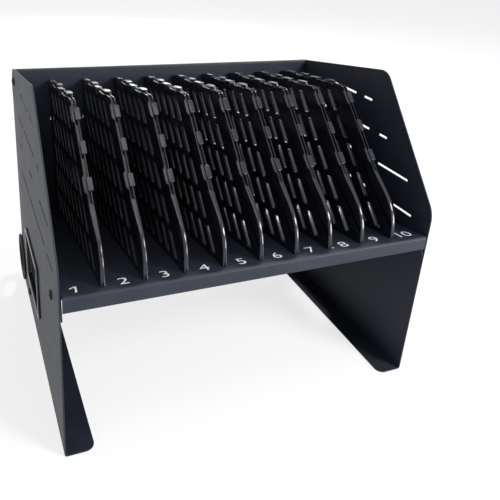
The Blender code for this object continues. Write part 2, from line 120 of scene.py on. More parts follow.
def roundedPath(corners, perQuarter):
    # corners are (x, y, radius); a radius of zero keeps a sharp corner
    points = []
    total = len(corners)
    for i, (x, y, radius) in enumerate(corners):
        here = Vector((x, y))
        back = (Vector(corners[i - 1][:2]) - here).normalized()
        ahead = (Vector(corners[(i + 1) % total][:2]) - here).normalized()
        if radius <= 0:
            points.append((x, y))
            continue
        half = back.angle(ahead) / 2
        reach = radius / math.tan(half)
        centre = here + (back + ahead).normalized() * (radius / math.sin(half))
        first = here + back * reach
        sweep = math.pi - 2 * half
        turn = math.copysign(sweep, back.x * ahead.y - back.y * ahead.x) * -1
        angle = math.atan2(first.y - centre.y, first.x - centre.x)
        count = max(2, round(perQuarter * sweep / (math.pi / 2)))
        points += arcPoints(centre, radius, angle, angle + turn, count)
    return points


def boxPath(x0, y0, x1, y1, radius, perQuarter=6):
    return roundedPath([(x0, y0, radius), (x1, y0, radius), (x1, y1, radius), (x0, y1, radius)], perQuarter)


# flat and folded sheet
foldSettings = dict(radius=0.003, steps=8, smooth=14, rimSteps=2, cutReach=1e-7)


def flatPlate(outline, holes, thick, edge):
    # plate in XY with softly rounded rims, z from -thick/2 to thick/2
    curve = bpy.data.curves.new("flat", "CURVE")
    curve.dimensions, curve.fill_mode = "2D", "BOTH"
    for path in [outline] + holes:
        spline = curve.splines.new("POLY")
        spline.points.add(len(path) - 1)
        for point, (x, y) in zip(spline.points, path):
            point.co = (x, y, 0, 1)
        spline.use_cyclic_u = True
    curve.extrude, curve.bevel_depth = thick / 2 - edge, edge
    curve.bevel_resolution, curve.offset = foldSettings["rimSteps"], -edge
    obj = linked("flat", curve)
    mesh = plainMesh(obj)
    bpy.data.objects.remove(obj)
    bpy.data.curves.remove(curve)
    bm = toBmesh(mesh)
    bmesh.ops.remove_doubles(bm, verts=bm.verts, dist=mergeReach)
    faceOut(bm)
    return bm


def cutAlong(bm, axis, places):
    # extra rows of points across the plate, where it will be bent
    normal = Vector((1, 0, 0)) if axis == 0 else Vector((0, 1, 0))
    for place in places:
        everything = bm.verts[:] + bm.edges[:] + bm.faces[:]
        bmesh.ops.bisect_plane(bm, geom=everything, dist=foldSettings["cutReach"],
                               plane_co=normal * place, plane_no=normal)


def foldStart(angle):
    # how far before the sharp corner the fold begins
    return foldSettings["radius"] * math.tan(angle / 2)


def foldLength(angle, thick):
    # length of the fold along the middle of the sheet
    return (foldSettings["radius"] - thick / 2) * angle


def foldPoint(s, w, angle, thick):
    # s runs past the start of the fold, w is the depth under the outer face
    radius = foldSettings["radius"]
    middle = radius - thick / 2
    turn = min(s / middle, angle)
    rest = max(0.0, s - middle * angle)
    along = (radius - w) * math.sin(turn) + rest * math.cos(angle)
    inward = radius - (radius - w) * math.cos(turn) + rest * math.sin(angle)
    return along, inward


def foldPlaces(start, direction, angle, thick):
    # flat places of the cuts through a fold that begins at start and runs in direction
    length = foldLength(angle, thick)
    steps = foldSettings["steps"]
    return [start + direction * length * i / steps for i in range(steps + 1)]


# sizes shared by the pieces
rack = dict(sheet=0.0015, halfWidth=0.212, front=-0.189, trayFront=-0.190, trayHeight=0.193,
            trayDepth=0.28366, tilt=math.radians(9.0), bays=10, bayPitch=0.0421, gap=0.0003, panelEdge=0.2102,
            foldInset=0.0006, cornerGap=0.0045, tabFronts=(0.013, 0.26196), tabHeight=0.118, tabLength=0.003,
            tabRound=0.0004, tabSteps=2)

# across, setback and height above the tray to the upright frame
lean = Matrix.Translation((0, rack["trayFront"], rack["trayHeight"])) @ Matrix.Rotation(-rack["tilt"], 4, "X")


def bayPlace(number, count):
    # place across of one of a row at the bay pitch, which is centred on the rack
    return rack["bayPitch"] * (number - (count + 1) / 2)


def tabPath(left, low, right, high):
    # small rounded rectangle of a tab or of its slot
    return boxPath(left, low, right, high, rack["tabRound"], rack["tabSteps"])


# node helpers
def addNode(tree, kind, links=(), **settings):
    # settings set a property of the node; links is (input name or index, number or source)
    node = tree.nodes.new(kind)
    for key, value in settings.items():
        setattr(node, key, value)
    for key, source in links:
        if isinstance(source, (int, float)):
            node.inputs[key].default_value = source
        else:
            tree.links.new(source, node.inputs[key])
    return node


def mathNode(tree, operation, *terms):
    return addNode(tree, "ShaderNodeMath", list(enumerate(terms)), operation=operation).outputs[0]


def newTree(name, inputs):
    # geometry tree with its named inputs, given as (name, kind of socket)
    tree = bpy.data.node_groups.new(name, "GeometryNodeTree")
    sockets = {}
    for label, kind in inputs:
        socket = tree.interface.new_socket(name=label, in_out="INPUT", socket_type="NodeSocket" + kind)
        sockets[label] = socket.identifier
    tree.interface.new_socket(name="Geometry", in_out="OUTPUT", socket_type="NodeSocketGeometry")
    return tree, sockets, tree.nodes.new("NodeGroupInput").outputs, tree.nodes.new("NodeGroupOutput").inputs


def finishTree(tree, geometry, finish, result):
    # real geometry with its finish, as the tree's result
    real = addNode(tree, "GeometryNodeRealizeInstances", [("Geometry", geometry)]).outputs[0]
    done = addNode(tree, "GeometryNodeSetMaterial", [("Geometry", real), ("Material", finish)]).outputs[0]
    tree.links.new(done, result[0])


def runTree(base, tree, sockets, values):
    # sets every named input before the first evaluation, then bakes to a plain mesh
    obj = linked("baking", base)
    modifier = obj.modifiers.new("tree", "NODES")
    modifier.node_group = tree
    for label, value in values.items():
        modifier[sockets[label]] = value
    mesh = plainMesh(obj)
    bpy.data.objects.remove(obj)
    return mesh


# finishes: a noise is (scale, detail, roughness), ramp and span are the part of it that is used
def newMaterial(name):
    material = bpy.data.materials.new(name)
    material.use_nodes = True
    tree = material.node_tree
    coords = tree.nodes.new("ShaderNodeTexCoord").outputs["Object"]
    return material, tree, tree.nodes["Principled BSDF"], coords


def noiseNode(tree, coords, noise):
    scale, detail, roughness = noise
    return addNode(tree, "ShaderNodeTexNoise", [("Vector", coords), ("Scale", scale), ("Detail", detail),
                                                ("Roughness", roughness)]).outputs["Fac"]


def colourOver(tree, shader, pattern, cfg):
    # from the dark to the light colour over a pattern
    node = addNode(tree, "ShaderNodeValToRGB", [("Fac", pattern)])
    first, last = node.color_ramp.elements
    first.position, last.position = cfg["ramp"]
    first.color, last.color = (*cfg["dark"], 1), (*cfg["light"], 1)
    tree.links.new(node.outputs["Color"], shader.inputs["Base Color"])


def roughnessOver(tree, shader, pattern, cfg):
    # from the first to the second roughness over a pattern
    links = zip(("From Min", "From Max", "To Min", "To Max"), cfg["span"] + cfg["rough"])
    node = addNode(tree, "ShaderNodeMapRange", [("Value", pattern)] + list(links))
    tree.links.new(node.outputs["Result"], shader.inputs["Roughness"])


def bumpOver(tree, shader, pattern, cfg):
    node = addNode(tree, "ShaderNodeBump", [("Height", pattern), ("Strength", cfg["bump"]),
                                            ("Distance", cfg["bumpHeight"])])
    tree.links.new(node.outputs["Normal"], shader.inputs["Normal"])


coatSettings = dict(dark=(0.0108, 0.0135, 0.0225), light=(0.0195, 0.0228, 0.0350), ramp=(0.40, 0.62),
                    span=(0.35, 0.65), rough=(0.51, 0.56), grain=(1500.0, 2.0, 0.6), grainShare=0.65,
                    cloud=(38.0, 4.0, 0.6), cloudShare=0.35, bump=0.25, bumpHeight=0.00010, specular=0.22)


def powderCoat(cfg):
    # fine textured charcoal powder coat
    material, tree, shader, coords = newMaterial("powderCoat")
    grain = noiseNode(tree, coords, cfg["grain"])
    cloud = noiseNode(tree, coords, cfg["cloud"])
    clouds = mathNode(tree, "MULTIPLY", cloud, cfg["cloudShare"])
    colourOver(tree, shader, mathNode(tree, "MULTIPLY_ADD", grain, cfg["grainShare"], clouds), cfg)
    roughnessOver(tree, shader, cloud, cfg)
    bumpOver(tree, shader, grain, cfg)
    shader.inputs["Specular IOR Level"].default_value = cfg["specular"]
    return material


plasticSettings = dict(dark=(0.0042, 0.0048, 0.0085), light=(0.0075, 0.0083, 0.0130), ramp=(0.36, 0.64),
                       span=(0.35, 0.65), rough=(0.215, 0.155), flow=(55.0, 3.0, 0.55),
                       grain=(2600.0, 1.0, 0.5), bump=0.06, bumpHeight=0.00005, specular=0.5)


def mouldedPlastic(cfg):
    # satin black moulding with a very fine grain and faint flow clouds
    material, tree, shader, coords = newMaterial("mouldedPlastic")
    flow = noiseNode(tree, coords, cfg["flow"])
    colourOver(tree, shader, flow, cfg)
    roughnessOver(tree, shader, flow, cfg)
    bumpOver(tree, shader, noiseNode(tree, coords, cfg["grain"]), cfg)
    shader.inputs["Specular IOR Level"].default_value = cfg["specular"]
    return material


rubberSettings = dict(dark=(0.006, 0.006, 0.007), light=(0.014, 0.014, 0.016), ramp=(0.35, 0.65),
                      span=(0.35, 0.65), rough=(0.58, 0.74), cloud=(120.0, 5.0, 0.6),
                      grain=(1680.0, 2.0, 0.5), bump=0.3, bumpHeight=0.00008, specular=0.25)


def ringRubber(cfg):
    # dull black rubber of the cable rings
    material, tree, shader, coords = newMaterial("ringRubber")
    cloud = noiseNode(tree, coords, cfg["cloud"])
    colourOver(tree, shader, cloud, cfg)
    roughnessOver(tree, shader, cloud, cfg)
    bumpOver(tree, shader, noiseNode(tree, coords, cfg["grain"]), cfg)
    shader.inputs["Specular IOR Level"].default_value = cfg["specular"]
    return material


oxideSettings = dict(dark=(0.005, 0.005, 0.006), light=(0.014, 0.014, 0.016), ramp=(0.35, 0.65),
                     span=(0.35, 0.65), rough=(0.34, 0.48), cloud=(420.0, 4.0, 0.5), metallic=0.35)


def blackOxide(cfg):
    # blackened steel of the screws
    material, tree, shader, coords = newMaterial("blackOxide")
    cloud = noiseNode(tree, coords, cfg["cloud"])
    colourOver(tree, shader, cloud, cfg)
    roughnessOver(tree, shader, cloud, cfg)
    shader.inputs["Metallic"].default_value = cfg["metallic"]
    return material


printSettings = dict(dark=(0.66, 0.67, 0.68), light=(0.84, 0.85, 0.86), ramp=(0.30, 0.60),
                     cloud=(900.0, 4.0, 0.5), roughness=0.55)


def whitePrint(cfg):
    # matt ink of the numbers
    material, tree, shader, coords = newMaterial("whitePrint")
    colourOver(tree, shader, noiseNode(tree, coords, cfg["cloud"]), cfg)
    shader.inputs["Roughness"].default_value = cfg["roughness"]
    return material


coat = powderCoat(coatSettings)
plastic = mouldedPlastic(plasticSettings)
rubber = ringRubber(rubberSettings)
oxide = blackOxide(oxideSettings)
ink = whitePrint(printSettings)
print("materials made")


# side panels
# window: setbacks and heights of its corners and their radius; slots: height, start and end as shares
sideSettings = dict(
    depth=0.350, kneeHeight=0.222, kneeRadius=0.030, shoulder=0.120, shoulderHeight=0.36002,
    shoulderRadius=0.022, rearHeight=0.32370, rearRadius=0.035, foot=0.032, footRadius=0.010,
    flangeWidth=0.015, flangeFoot=0.081, flangeTop=0.2868, flangeSlack=1e-5, lobeSetback=0.345,
    lobeHeight=0.040, lobeRadius=0.032, lobeSteps=44, holeRadius=0.026, holeSteps=56, slotHeight=0.003,
    slotRound=0.0005, slotSteps=2, cornerSteps=12, edge=0.00035, reliefWidth=0.0010, reliefDepth=0.0040,
    window=(0.158, 0.062, 0.262, 0.1281, 0.004),
    slotShares=((0.563, 0.094, 0.190), (0.563, 0.237, 0.815), (0.672, 0.143, 0.310), (0.672, 0.470, 0.535),
                (0.672, 0.737, 0.800), (0.774, 0.285, 0.330), (0.774, 0.390, 0.630), (0.774, 0.670, 0.790),
                (0.879, 0.400, 0.450), (0.879, 0.500, 0.690)))


def sideFlatOutline(cfg):
    # flat pattern: setback to the right, height upwards, foot below and rear flange behind
    thick, right = rack["sheet"], math.pi / 2
    start = foldStart(right)
    length = foldLength(right, thick)
    footEnd = start - length - (cfg["foot"] - start)
    flangeEnd = cfg["depth"] - start + length + (cfg["flangeWidth"] - start)
    notch = cfg["depth"] - cfg["reliefDepth"]
    low, high, gap = cfg["flangeFoot"], cfg["flangeTop"], cfg["reliefWidth"]
    # the lobe's arc, from where its circle leaves the rear edge to where it comes back
    turn = math.acos((cfg["depth"] - cfg["lobeSetback"]) / cfg["lobeRadius"])
    centre = (cfg["lobeSetback"], cfg["lobeHeight"])
    lobe = arcPoints(centre, cfg["lobeRadius"], -turn, turn, cfg["lobeSteps"])
    flange = [(cfg["depth"], low - gap), (notch, low - gap), (notch, low), (flangeEnd, low),
              (flangeEnd, high), (notch, high), (notch, high + gap), (cfg["depth"], high + gap)]
    return roundedPath(
        [(0, footEnd, cfg["footRadius"]), (cfg["depth"], footEnd, cfg["footRadius"])]
        + [(x, y, 0) for x, y in lobe + flange]
        + [(cfg["depth"], cfg["rearHeight"], cfg["rearRadius"]),
           (cfg["shoulder"], cfg["shoulderHeight"], cfg["shoulderRadius"]),
           (0, cfg["kneeHeight"], cfg["kneeRadius"])], cfg["cornerSteps"])


def sideHoles(cfg):
    # thin slots, storage window and cable port
    holes = []
    for height, begin, end in cfg["slotShares"]:
        middle = height * cfg["shoulderHeight"]
        half = cfg["slotHeight"] / 2
        holes.append(boxPath(begin * cfg["depth"], middle - half, end * cfg["depth"], middle + half,
                             cfg["slotRound"], cfg["slotSteps"]))
    holes.append(boxPath(*cfg["window"]))
    centre = (cfg["lobeSetback"], cfg["lobeHeight"])
    return holes + [arcPoints(centre, cfg["holeRadius"], 0, 2 * math.pi, cfg["holeSteps"])[:-1]]


def sidePanelMesh(cfg):
    # the left panel, with its outer face towards -X
    thick, right = rack["sheet"], math.pi / 2
    start = foldStart(right)
    rear, slack = cfg["depth"] - start, cfg["flangeSlack"]
    bm = flatPlate(sideFlatOutline(cfg), sideHoles(cfg), thick, cfg["edge"])
    cutAlong(bm, 1, foldPlaces(start, -1, right, thick))
    cutAlong(bm, 0, foldPlaces(rear, 1, right, thick))
    for vert in bm.verts:
        depth, height, inward = vert.co.x, vert.co.y, thick / 2 - vert.co.z
        if height < start:
            along, inward = foldPoint(start - height, inward, right, thick)
            height = start - along
        elif depth > rear and cfg["flangeFoot"] - slack < height < cfg["flangeTop"] + slack:
            along, inward = foldPoint(depth - rear, inward, right, thick)
            depth = rear + along
        vert.co = (inward - rack["halfWidth"], depth + rack["front"], height)
    faceOut(bm)
    return fromBmesh(bm, "sidePanel")


sideMesh = sidePanelMesh(sideSettings)
addPiece("leftSidePanel", sideMesh, coat, ["left_side_panel"], foldSettings["smooth"])
addPiece("rightSidePanel", moved(sideMesh, mirror), coat, ["right_side_panel"],
         foldSettings["smooth"])
print("side panels folded")


# tray
traySettings = dict(lip=0.0163, lipRelief=0.0015, lipNotch=0.0044, flangeStart=0.0058, flangeFront=0.026,
                    flangeRear=0.014, edge=0.0003, slotLeft=0.0028, slotRight=0.0085)


def trayOutline(cfg, lipAngle):
    # flat pattern: across, and setback from the front; the lip lies in front, the flanges around
    thick, right = rack["sheet"], math.pi / 2
    lipStart, sideStart = foldStart(lipAngle), foldStart(right)
    edge, rear = rack["panelEdge"], rack["trayDepth"]
    lipEnd = lipStart - foldLength(lipAngle, thick) - (cfg["lip"] - lipStart)
    fold = foldLength(right, thick) - sideStart
    inner = edge - sideStart - rack["foldInset"]
    frontReach = edge - sideStart + fold + cfg["flangeFront"]
    rearReach = edge - sideStart + fold + cfg["flangeRear"]
    rearEnd = rear - sideStart + fold + cfg["flangeRear"]
    corner = rear - rack["cornerGap"]
    half = [(edge - cfg["lipRelief"], lipEnd), (edge - cfg["lipRelief"], cfg["lipNotch"]),
            (inner, cfg["lipNotch"]), (inner, cfg["flangeStart"]), (frontReach, cfg["flangeStart"]),
            (rearReach, corner), (inner, corner), (inner, rearEnd)]
    return half + [(-x, y) for x, y in reversed(half)]


def trayMesh(cfg):
    thick, right = rack["sheet"], math.pi / 2
    lipAngle = right + rack["tilt"]
    lipStart = foldStart(lipAngle)
    side, rear = rack["panelEdge"] - foldStart(right), rack["trayDepth"] - foldStart(right)
    holes = []
    for number in range(1, rack["bays"]):
        x = bayPlace(number, rack["bays"] - 1)
        for front in rack["tabFronts"]:
            holes.append(tabPath(x - cfg["slotLeft"], front - rack["gap"], x + cfg["slotRight"],
                                 front + rack["tabLength"] + rack["gap"]))
    bm = flatPlate(trayOutline(cfg, lipAngle), holes, thick, cfg["edge"])
    cutAlong(bm, 1, foldPlaces(lipStart, -1, lipAngle, thick))
    cutAlong(bm, 1, foldPlaces(rear, 1, right, thick))
    cutAlong(bm, 0, foldPlaces(side, 1, right, thick))
    cutAlong(bm, 0, foldPlaces(-side, -1, right, thick))
    for vert in bm.verts:
        x, setback, drop = vert.co.x, vert.co.y, thick / 2 - vert.co.z
        if setback < lipStart:
            along, drop = foldPoint(lipStart - setback, drop, lipAngle, thick)
            setback = lipStart - along
        elif abs(x) > side:
            along, drop = foldPoint(abs(x) - side, drop, right, thick)
            x = math.copysign(side + along, x)
        elif setback > rear:
            along, drop = foldPoint(setback - rear, drop, right, thick)
            setback = rear + along
        vert.co = lean @ Vector((x, setback, -drop))
    faceOut(bm)
    return fromBmesh(bm, "tray")


addPiece("trayShelf", trayMesh(traySettings), coat, ["tray"], foldSettings["smooth"])


# back panel
backSettings = dict(face=0.28396, foot=0.1383, top=0.184, flange=0.020, hem=0.008, edge=0.0003,
                    earGap=0.0007, slotHalf=0.0028)


def backOutline(cfg, cornerTop):
    # flat pattern: across, and height above the tray; the hem lies on top, the flanges beside
    right = math.pi / 2
    start = foldStart(right)
    fold = foldLength(right, rack["sheet"]) - start
    edge = rack["panelEdge"]
    wide = edge - start + fold + cfg["flange"]
    high = cfg["top"] - start + fold + cfg["hem"]
    inner = edge - start - rack["foldInset"]
    ear = cornerTop + cfg["earGap"]
    half = [(wide, -cfg["foot"]), (wide, cornerTop), (inner, cornerTop), (inner, ear), (edge, ear),
            (edge, high)]
    return half + [(-x, y) for x, y in reversed(half)]


def backMesh(cfg):
    thick, right = rack["sheet"], math.pi / 2
    side, top = rack["panelEdge"] - foldStart(right), cfg["top"] - foldStart(right)
    cornerTop = cfg["top"] - rack["cornerGap"]
    holes = []
    for number in range(1, rack["bays"]):
        x = bayPlace(number, rack["bays"] - 1)
        holes.append(tabPath(x - cfg["slotHalf"], rack["tabHeight"] - rack["gap"], x + cfg["slotHalf"],
                             rack["tabHeight"] + rack["tabLength"] + rack["gap"]))
    bm = flatPlate(backOutline(cfg, cornerTop), holes, thick, cfg["edge"])
    cutAlong(bm, 0, foldPlaces(side, 1, right, thick))
    cutAlong(bm, 0, foldPlaces(-side, -1, right, thick))
    cutAlong(bm, 1, foldPlaces(top, 1, right, thick))
    for vert in bm.verts:
        x, height, back = vert.co.x, vert.co.y, thick / 2 - vert.co.z
        if height > cornerTop + cfg["earGap"] / 2:
            # the hem runs the whole width, up to the side panels
            if height > top:
                along, back = foldPoint(height - top, back, right, thick)
                height = top + along
        elif abs(x) > side:
            along, back = foldPoint(abs(x) - side, back, right, thick)
            x = math.copysign(side + along, x)
        vert.co = lean @ Vector((x, cfg["face"] + back, height))
    faceOut(bm)
    return fromBmesh(bm, "backPanel")


addPiece("backPanel", backMesh(backSettings), coat, ["back_panel"], foldSettings["smooth"])
print("tray and back folded")


# dividers
# front and top are the two runs of the channel, with their fingers as (share of the run, side, bulged)
dividerSettings = dict(
    thick=0.005, slant=math.radians(38.0), topRise=math.radians(2.0), height=0.1645, setback=0.011,
    noseHeight=0.035, noseRadius=0.046, footSetback=0.0477, footHeight=0.070, footRadius=0.012,
    topRadius=0.012, rearRadius=0.004, pathSteps=16, flatTurn=0.001, tabReach=0.0045, tabInset=0.002,
    smooth=35,
    vents=dict(rows=5, columns=9, foot=0.006, rise=0.0252, rowPitch=0.0315, pitch=0.0255, width=0.010,
               frontBand=0.033, rearBand=0.013, rounding=0.0012, cornerSteps=4),
    channel=dict(width=0.003, depth=0.0045, over=0.004, bottomRound=0.002, steps=10),
    front=dict(length=0.0155, rise=0.0012, taper=0.0008, tip=0.0009, pockets=False,
               fingerShares=((0.20, 1, True), (0.555, 1, False), (0.90, 1, True))),
    top=dict(length=0.023, rise=0.003, taper=0.0045, tip=0.003, pockets=True,
             fingerShares=((0.18, 1, True), (0.387, -1, False), (0.59, 1, True), (0.80, -1, False))),
    finger=dict(plate=0.0014, drop=0.005, spread=0.0025, slit=0.0005, inset=0.0002, crownShare=0.2,
                taperShare=0.5, tipRound=0.0006, edge=0.00028, steps=5, rows=6, columns=4, sag=0.0002,
                slope=0.04, lap=0.0004, legShare=0.6, legFootRound=0.0008, legTopRound=0.0006,
                legEdge=0.0006, legSteps=4),
    cheek=dict(rise=0.0004, taper=0.0035, wall=0.001, pocketTop=0.003),
    rims=dict(noseRound=0.0021, rimRound=0.00022, steps=4, sharpest=math.radians(35), noseTop=0.004,
              noseBand=0.02, noseReach=0.05, frontBand=0.003, frontSlack=0.001, footSlack=0.0004))


def slantAt(height):
    # setback of the slanted front at a height
    cfg = dividerSettings
    return cfg["footSetback"] + (height - cfg["footHeight"]) * math.tan(cfg["slant"])


def topAt(setback, inset):
    # height of the top at a setback, less an inset square to it
    cfg = dividerSettings
    slope = math.tan(cfg["topRise"])
    return cfg["height"] + (setback - slantAt(cfg["height"])) * slope - inset / math.cos(cfg["topRise"])


def cornerAt(inset):
    # where front and top would meet sharply, both moved inwards
    cfg = dividerSettings
    slant, rise = cfg["slant"], cfg["topRise"]
    run, drop = inset / math.cos(slant), inset / math.cos(rise)
    height = cfg["height"] + (run * math.tan(rise) - drop) / (1 - math.tan(slant) * math.tan(rise))
    return slantAt(height) + run, height


def perforationTree():
    # outline in, slanted openings laid out in rows and cut, flat face out
    tree, sockets, given, result = newTree("perforatedPlate", [
        ("Geometry", "Geometry"), ("Rows", "Int"), ("Columns", "Int"), ("Row Pitch", "Float"),
        ("Pitch", "Float"), ("Width", "Float"), ("Rise", "Float"), ("Slope", "Float"),
        ("First Setback", "Float"), ("First Height", "Float"), ("Limit", "Float"), ("Rounding", "Float"),
        ("Corner Steps", "Int"), ("Finish", "Material")])
    # one point for each opening, row by row
    index = addNode(tree, "GeometryNodeInputIndex").outputs[0]
    row = mathNode(tree, "FLOOR", mathNode(tree, "DIVIDE", index, given["Columns"]))
    column = mathNode(tree, "SUBTRACT", index, mathNode(tree, "MULTIPLY", row, given["Columns"]))
    up = mathNode(tree, "MULTIPLY", row, given["Row Pitch"])
    height = mathNode(tree, "ADD", given["First Height"], up)
    lead = mathNode(tree, "ADD", given["First Setback"], mathNode(tree, "MULTIPLY", up, given["Slope"]))
    setback = mathNode(tree, "ADD", lead, mathNode(tree, "MULTIPLY", column, given["Pitch"]))
    place = addNode(tree, "ShaderNodeCombineXYZ", [("X", setback), ("Y", height)]).outputs[0]
    count = mathNode(tree, "MULTIPLY", given["Rows"], given["Columns"])
    points = addNode(tree, "GeometryNodePoints", [("Count", count), ("Position", place)]).outputs[0]
    # those that would run past the rear band are left out
    shift = mathNode(tree, "MULTIPLY", given["Rise"], given["Slope"])
    reach = mathNode(tree, "ADD", given["Width"], shift)
    position = addNode(tree, "GeometryNodeInputPosition").outputs[0]
    across = addNode(tree, "ShaderNodeSeparateXYZ", [("Vector", position)]).outputs["X"]
    beyond = mathNode(tree, "GREATER_THAN", mathNode(tree, "ADD", across, reach), given["Limit"])
    kept = addNode(tree, "GeometryNodeDeleteGeometry", [("Geometry", points), ("Selection", beyond)],
                   domain="POINT").outputs[0]
    # one slanted opening with rounded corners
    spots = ([], [("X", given["Width"])], [("X", reach), ("Y", given["Rise"])],
             [("X", shift), ("Y", given["Rise"])])
    corners = [("Point %d" % (i + 1), addNode(tree, "ShaderNodeCombineXYZ", spot).outputs[0])
               for i, spot in enumerate(spots)]
    shape = addNode(tree, "GeometryNodeCurvePrimitiveQuadrilateral", corners, mode="POINTS").outputs[0]
    opening = addNode(tree, "GeometryNodeFilletCurve",
                      [("Curve", shape), ("Radius", given["Rounding"]), ("Count", given["Corner Steps"])],
                      mode="POLY").outputs[0]
    spread = addNode(tree, "GeometryNodeInstanceOnPoints",
                     [("Points", kept), ("Instance", opening)]).outputs[0]
    loops = addNode(tree, "GeometryNodeRealizeInstances", [("Geometry", spread)]).outputs[0]
    rim = addNode(tree, "GeometryNodeMeshToCurve", [("Mesh", given["Geometry"])]).outputs[0]
    both = addNode(tree, "GeometryNodeJoinGeometry", [("Geometry", rim)])
    tree.links.new(loops, both.inputs[0])
    face = addNode(tree, "GeometryNodeFillCurve", [("Curve", both.outputs[0])], mode="TRIANGLES").outputs[0]
    finishTree(tree, face, given["Finish"], result)
    return tree, sockets


def pathLoop(path):
    # closed run of edges through the points of a path
    mesh = bpy.data.meshes.new("path")
    edges = [(i, (i + 1) % len(path)) for i in range(len(path))]
    mesh.from_pydata([(x, y, 0) for x, y in path], edges, [])
    return mesh


def dividerPath(cfg):
    # side view of a divider: setback to the right, height upwards
    rear = rack["trayDepth"]
    cornerX, cornerY = cornerAt(0)
    return roundedPath([
        (cfg["setback"], rack["gap"], 0), (rear, rack["gap"], 0), (rear, topAt(rear, 0), cfg["rearRadius"]),
        (cornerX, cornerY, cfg["topRadius"]), (cfg["footSetback"], cfg["footHeight"], cfg["footRadius"]),
        (cfg["setback"], cfg["noseHeight"], cfg["noseRadius"])], cfg["pathSteps"])


def perforatedPlate(cfg):
    # the flat face with its openings, thickened and set upright
    vents = cfg["vents"]
    tree, sockets = perforationTree()
    flat = runTree(pathLoop(dividerPath(cfg)), tree, sockets, {
        "Rows": vents["rows"], "Columns": vents["columns"], "Row Pitch": vents["rowPitch"],
        "Pitch": vents["pitch"], "Width": vents["width"], "Rise": vents["rise"],
        "Slope": math.tan(cfg["slant"]), "First Setback": slantAt(vents["foot"]) + vents["frontBand"],
        "First Height": vents["foot"], "Limit": rack["trayDepth"] - vents["rearBand"],
        "Rounding": vents["rounding"], "Corner Steps": vents["cornerSteps"], "Finish": plastic})
    bm = toBmesh(flat)
    bmesh.ops.remove_doubles(bm, verts=bm.verts, dist=mergeReach)
    inside = [edge for edge in bm.edges if not edge.is_boundary]
    bmesh.ops.dissolve_limit(bm, angle_limit=cfg["flatTurn"], verts=bm.verts, edges=inside)
    solid = bmesh.ops.extrude_face_region(bm, geom=bm.faces[:])
    half = cfg["thick"] / 2
    top = {item for item in solid["geom"] if isinstance(item, bmesh.types.BMVert)}
    for vert in bm.verts:
        vert.co.z = half if vert in top else -half
    bmesh.ops.transform(bm, matrix=upright, verts=bm.verts)
    faceOut(bm)
    return fromBmesh(bm, "plate")


def slab(path, low, high):
    # prism of an XY outline, from low to high
    bm = bmesh.new()
    rings = [[bm.verts.new((x, y, z)) for x, y in path] for z in (low, high)]
    bm.faces.new(rings[0])
    bm.faces.new(rings[1])
    for i in range(len(path)):
        j = (i + 1) % len(path)
        bm.faces.new((rings[0][i], rings[0][j], rings[1][j], rings[1][i]))
    faceOut(bm)
    return fromBmesh(bm, "slab")


def channelMesh(cfg):
    # what the cable channel takes out, along the slanted front and the top and out at the rear
    size = cfg["channel"]
    depth, over, half = size["depth"], size["over"], size["width"] / 2
    slope = math.cos(cfg["slant"])
    end = rack["trayDepth"] + over
    low = cfg["footHeight"]
    run = low + depth
    inX, inY = cornerAt(depth)
    outX, outY = cornerAt(-over)
    path = roundedPath([
        (slantAt(low) - over / slope, low, 0), (slantAt(run) + depth / slope, run, size["bottomRound"]),
        (inX, inY, cfg["topRadius"] - depth), (end, topAt(end, depth), 0), (end, topAt(end, -over), 0),
        (outX, outY, 0)], size["steps"])
    mesh = slab(path, -half, half)
    mesh.transform(upright)
    return mesh


def fingerFrames(cfg):
    # frame at each finger of the front run and of the top run: X across, Y along, Z outwards
    trim = cfg["topRadius"] * math.tan((math.pi / 2 - cfg["slant"] - cfg["topRise"]) / 2)
    corner = Vector((0, *cornerAt(0)))
    foot = Vector((0, cfg["footSetback"], cfg["footHeight"]))
    topStart = corner + Vector((0, math.cos(cfg["topRise"]), math.sin(cfg["topRise"]))) * trim
    topLength = (rack["trayDepth"] - topStart.y) / math.cos(cfg["topRise"])
    for start, angle, length, run in (
            (foot, math.pi / 2 - cfg["slant"], (corner - foot).length - trim, cfg["front"]),
            (topStart, cfg["topRise"], topLength, cfg["top"])):
        base = Matrix.Translation(start) @ Matrix.Rotation(angle, 4, "X")
        for share, side, bulged in run["fingerShares"]:
            yield base @ Matrix.Translation((0, length * share, 0)), side, bulged, run


def cheekMesh(cfg, side, length, near, far, low, high):
    # tapered block beside a finger; near and far are distances from the plate's middle
    half, taper = length / 2, cfg["cheek"]["taper"]
    path = [(-side * near, -half - taper), (-side * far, -half), (-side * far, half),
            (-side * near, half + taper)]
    return slab(path, low, high)


